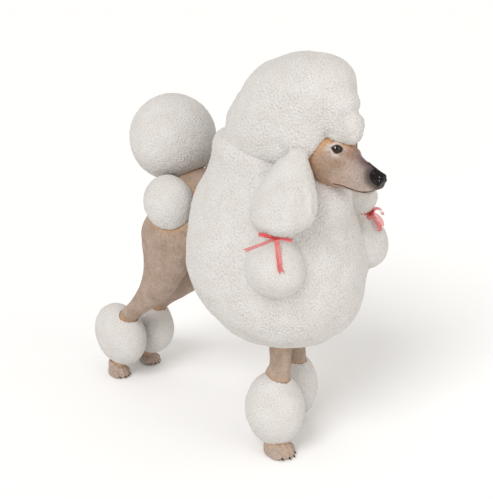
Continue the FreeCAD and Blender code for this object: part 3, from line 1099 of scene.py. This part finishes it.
RIBBONS = {          # paths as (right, out, up) from the knot, in millimetres; the knot's facing in degrees
    "right": {
        "facing": -135.0,
        "loops": (        # far end, tilt of the width in degrees, arch of the middle
            ((-20, 2.5, 5.0), 12.0, 0.5),
            ((18, 2.5, -3.0), 14.0, 0.5),
        ),
        "tails": (        # path, way of the width
            (((0, 2.5, -1), (1.0, 9, -8), (2, 15, -18), (3, 17, -28), (5, 17, -37)), (1, 0.1, 0)),
            (((-1, 2.5, -1), (-9, 6, -3), (-17, 8, -6), (-27, 9, -9), (-37, 9, -13)), (0.35, 0.35, 0.85)),
        ),
    },
    "left": {
        "facing": -95.0,
        "loops": (
            ((-9, 3.0, -3.0), 15.0, 0.0),
            ((11, 9.0, -1.0), 50.0, 7.0),
        ),
        "tails": (
            (((1, 2.5, -1), (5, 7, -4), (8, 10, -8), (10, 11, -13), (11, 11, -19)), (0.7, 0.1, 0.55)),
            (((0, 2.5, -1), (1, 8, -7), (3, 12, -13), (4, 13.5, -18), (5, 14, -23)), (1, 0.1, 0)),
        ),
    },
}


def ear_waist(node):
    """Middle and half widths of an ear's narrowest level section."""
    points = node_points(node)
    best = None
    bottom, tall = low(node)[2], size(node)[2]
    for z in np.linspace(bottom + 0.30 * tall, bottom + 0.60 * tall, WAIST_LEVELS):
        band = points[np.abs(points[:, 2] - z) < WAIST_BAND]
        near, far = band.min(axis=0), band.max(axis=0)
        if best is None or far[1] - near[1] < 2 * best[4]:
            best = (*((near + far) / 2)[:2], z, *((far - near) / 2)[:2])
    return best


def smooth_path(points, count):
    """Catmull-Rom curve through the points."""
    points = np.asarray(points, float)
    padded = np.vstack((2 * points[0] - points[1], points, 2 * points[-1] - points[-2]))
    path = []
    for t in np.linspace(0, len(points) - 1 - 1e-9, count):
        k, u = int(t), t - int(t)
        a, b, c, d = padded[k:k + 4]
        path.append(0.5 * (2 * b + (c - a) * u + (2 * a - 5 * b + 4 * c - d) * u ** 2
                           + (3 * b - a - 3 * c + d) * u ** 3))
    return np.array(path)


class Sewing:
    """Ribbon strips gathered into one mesh, drawn in a knot's own axes: right, out, up."""

    def __init__(self, origin, facing):
        turn = math.radians(facing)
        out = np.array((math.cos(turn), math.sin(turn), 0))
        self.axes = np.array(((-out[1], out[0], 0), out, (0, 0, 1)))
        self.origin = np.asarray(origin)
        self.points, self.faces = [], []

    def strip(self, path, across, closed=False, cup=0.0, notch=0.0, width=RIBBON_WIDTH):
        """Thin strip along a path; across is the way its width runs."""
        count = len(path)
        ahead = np.roll(path, -1, axis=0) - np.roll(path, 1, axis=0)
        if not closed:
            ahead[0], ahead[-1] = path[1] - path[0], path[-1] - path[-2]
        ahead /= np.linalg.norm(ahead, axis=1, keepdims=True)
        across = np.broadcast_to(np.asarray(across, float), path.shape)
        across = across - ahead * np.sum(across * ahead, axis=1, keepdims=True)
        across = across / np.linalg.norm(across, axis=1, keepdims=True)
        flat = np.cross(ahead, across)
        shares = np.linspace(-0.5, 0.5, RIBBON_COLUMNS)
        start = len(self.points)
        for face_side in (0.5, -0.5):
            for row in range(count):
                pull = notch * step(count - 1 - NOTCH_ROWS, count - 1, row)
                for share in shares:
                    point = path[row] + across[row] * share * width
                    point = point + flat[row] * (cup * (1 - 4 * share ** 2) + face_side * RIBBON_THICKNESS)
                    self.points.append(point - ahead[row] * pull * (1 - 2 * abs(share)))
        self.close(start, count, closed)

    def close(self, start, count, closed):
        """Faces of the two sides and of the edges."""
        columns = RIBBON_COLUMNS
        under = count * columns
        for row in range(count if closed else count - 1):
            here = start + row * columns
            there = start + (row + 1) % count * columns
            for column in range(columns - 1):
                a, b = here + column, here + column + 1
                c, d = there + column + 1, there + column
                self.faces += [(a, b, c, d), (d + under, c + under, b + under, a + under)]
            for edge, flip in ((0, 1), (columns - 1, -1)):
                wall = (here + edge, there + edge, there + edge + under, here + edge + under)
                self.faces.append(wall[::flip])
        if not closed:
            for row, flip in ((0, -1), (count - 1, 1)):
                for column in range(columns - 1):
                    a = start + row * columns + column
                    self.faces.append((a, a + 1, a + 1 + under, a + under)[::flip])

    def mesh(self, name):
        places = np.array(self.points) @ self.axes + self.origin
        mesh = bpy.data.meshes.new(name)
        mesh.from_pydata(places.tolist(), [], self.faces)
        return mesh


def ring_path(radius_a, radius_b, axis_a, axis_b, centre, count):
    """Closed ellipse round a centre, in the plane of two axes."""
    turns = np.linspace(0, 2 * np.pi, count, endpoint=False)[:, None]
    return centre + radius_a * np.cos(turns) * np.array(axis_a) + radius_b * np.sin(turns) * np.array(axis_b)


def loop_path(tip, arch):
    """Teardrop from the knot out to the loop's far end and back."""
    tip = np.array(tip) * MM
    turns = np.linspace(0, np.pi, LOOP_ROWS, endpoint=False)[:, None]
    share = np.sin(turns) ** 0.8
    depth = np.array((0, 2.8 * MM, 0)) * np.sin(2 * turns)
    lift = np.array((0, 0, 4 * arch * MM)) * share * (1 - share)
    return np.array((0, 2.0 * MM, 0)) + tip * share + depth + lift


def draped(path, surface, origin, axes):
    """The path kept just outside the ear that it lies on, then eased."""
    clear = []
    for point in path @ axes + origin:
        point = Vector(point)
        nearest, normal, _, _ = surface.find_nearest(point)
        if (point - nearest).dot(normal) < RIBBON_CLEAR:
            point = nearest + normal * RIBBON_CLEAR
        clear.append(point)
    clear = np.array(clear)
    for _ in range(EASING):
        clear[1:-1] = 0.5 * clear[1:-1] + 0.25 * (clear[:-2] + clear[2:])
    return (clear - origin) @ axes.T


def sew_loops(bow, loops):
    for tip, tilt, arch in loops:
        lean = math.radians(tilt)
        across = (0, -math.sin(lean), math.cos(lean))
        bow.strip(loop_path(tip, arch), across, closed=True, cup=0.3 * MM, width=LOOP_WIDTH)


def sew_tails(bow, tails, surface):
    """Rippled tails that lie on the ear and end in a notch."""
    for points, across in tails:
        path = smooth_path(np.array(points) * MM, TAIL_ROWS)
        ripple = 0.35 * MM * np.sin(np.linspace(0, 9, TAIL_ROWS))[:, None] * np.array((0, 1, 0))
        path = draped(path + ripple, surface, bow.origin, bow.axes)
        bow.strip(path, across, cup=0.4 * MM, notch=3.0 * MM)


def sew_knot(bow):
    """Two turns of ribbon side by side round the middle of the bow."""
    for level in KNOT_LEVELS:
        centre = np.array((level * MM, KNOT_OUT, 0))
        wrap = ring_path(*KNOT_RADII, (0, 1, 0), (0, 0, 1), centre, KNOT_ROWS)
        bow.strip(wrap, (1, 0.1 * level, 0.15), closed=True, cup=-0.5 * MM, width=KNOT_WIDTH)


def sewn_band(waist, rx, ry):
    """Slightly wavy band round the ear's waist."""
    band = Sewing(waist, -90.0)
    hoop = ring_path(rx + BAND_CLEAR, ry + BAND_CLEAR, (-1, 0, 0), (0, -1, 0), np.zeros(3), BAND_ROWS)
    hoop = hoop + np.array((0, 0, 0.5 * MM)) * np.sin(np.linspace(0, 25, BAND_ROWS))[:, None]
    band.strip(hoop, (0, 0, 1), closed=True, cup=0.3 * MM, width=BAND_WIDTH)
    return band


def make_ribbon(name):
    """Organza round an ear's waist: band, knot, two loops and two notched tails."""
    node = name + "_ear_ribbon"
    plan = RIBBONS[name]
    x, y, z, rx, ry = ear_waist(name + "_ear")
    z += RIBBON_RISE
    turn = math.radians(plan["facing"])
    reach = rx * ry / math.hypot(ry * math.cos(turn), rx * math.sin(turn)) + BOW_CLEAR
    bow = Sewing((x + reach * math.cos(turn), y + reach * math.sin(turn), z), plan["facing"])
    sew_loops(bow, plan["loops"])
    sew_tails(bow, plan["tails"], EAR_SURFACES[name])
    sew_knot(bow)
    band = sewn_band((x, y, z), rx, ry)
    add_piece(node + "_bow", bow.mesh(node + "_bow"), node, ORGANZA)
    add_piece(node + "_band", band.mesh(node + "_band"), node, ORGANZA)


# ---- floor, light and camera

CAMERA_PLACE = (-1.0209, -0.9642, 0.7603)
CAMERA_TARGET = (0.015, -0.015, 0.235)
CAMERA_LENS = 83.4
CAMERA_SENSOR = 36.0
FLOOR_REACH = 30.0
FLOOR_COLOUR = (0.95, 0.95, 0.95, 1)
WORLD_COLOUR = (1.0, 0.975, 0.94, 1)
WORLD_STRENGTH = 0.74
SUN_ANGLE = 30
FILL_SIZE = 1.3
CATCH_SIZE = 0.20


def aimed(name, data, start, target):
    """Object that looks from its place at a target."""
    thing = bpy.data.objects.new(name, data)
    thing.location = start
    thing.rotation_mode = "QUATERNION"
    thing.rotation_quaternion = (Vector(target) - Vector(start)).to_track_quat("-Z", "Y")
    bpy.context.scene.collection.objects.link(thing)
    return thing


def make_camera():
    data = bpy.data.cameras.new("camera")
    data.lens = CAMERA_LENS
    data.sensor_width = CAMERA_SENSOR
    bpy.context.scene.camera = aimed("camera", data, CAMERA_PLACE, CAMERA_TARGET)


def make_floor():
    mesh = bpy.data.meshes.new("floor")
    corners = [(x * FLOOR_REACH, y * FLOOR_REACH, 0) for x, y in ((-1, -1), (1, -1), (1, 1), (-1, 1))]
    mesh.from_pydata(corners, [], [(0, 1, 2, 3)])
    floor = bpy.data.objects.new("floor", mesh)
    bpy.context.scene.collection.objects.link(floor)
    material, _, shader = new_material("floor_white", roughness=0.9, specular=0.1)
    shader.inputs["Base Color"].default_value = FLOOR_COLOUR
    mesh.materials.append(material)


def lamp(name, kind, energy, colour, start, target):
    data = bpy.data.lights.new(name, kind)
    data.energy = energy
    data.color = colour
    return aimed(name, data, start, target)


def make_world():
    world = bpy.data.worlds.new("studio")
    world.use_nodes = True
    background = world.node_tree.nodes["Background"]
    background.inputs["Color"].default_value = WORLD_COLOUR
    background.inputs["Strength"].default_value = WORLD_STRENGTH
    bpy.context.scene.world = world


def make_light():
    """Broad sun from the dog's right and above, a soft fill ahead, and a lamp for the glints alone."""
    sun = lamp("key", "SUN", 1.55, (0.985, 0.99, 1.0), (-1.0, -0.25, 0.95), (0, 0, 0))
    sun.data.angle = math.radians(SUN_ANGLE)
    fill = lamp("fill", "AREA", 9.0, (1.0, 0.97, 0.93), (0.1, -2.3, 0.9), (0, 0, 0.25))
    fill.data.size = FILL_SIZE
    catch = lamp("catch", "AREA", 11.0, NO_TINT, (-1.15, -0.75, 1.15), (-0.02, -0.18, 0.40))
    catch.data.size = CATCH_SIZE
    catch.visible_diffuse = False


def set_colours():
    bpy.context.scene.view_settings.view_transform = "Standard"
    bpy.context.scene.view_settings.look = "None"


make_camera()
make_mane()
make_topknot()
make_tuft("tail_pompon", "pompon")
make_hindquarters()
make_head()
for side_name, side_sign in SIDES:
    make_ear(side_name, side_sign)
    make_eye(side_name, side_sign)
    make_ribbon(side_name)
    make_tuft(side_name + "_hip_rosette", "rosette", side_sign)
    make_hind_leg(side_name, side_sign)
    make_fore_leg(side_name)
    for leg_end in ("hind", "fore"):
        make_bracelet(side_name, side_sign, leg_end)
        make_paw(side_name, leg_end)
make_floor()
make_world()
make_light()
set_colours()
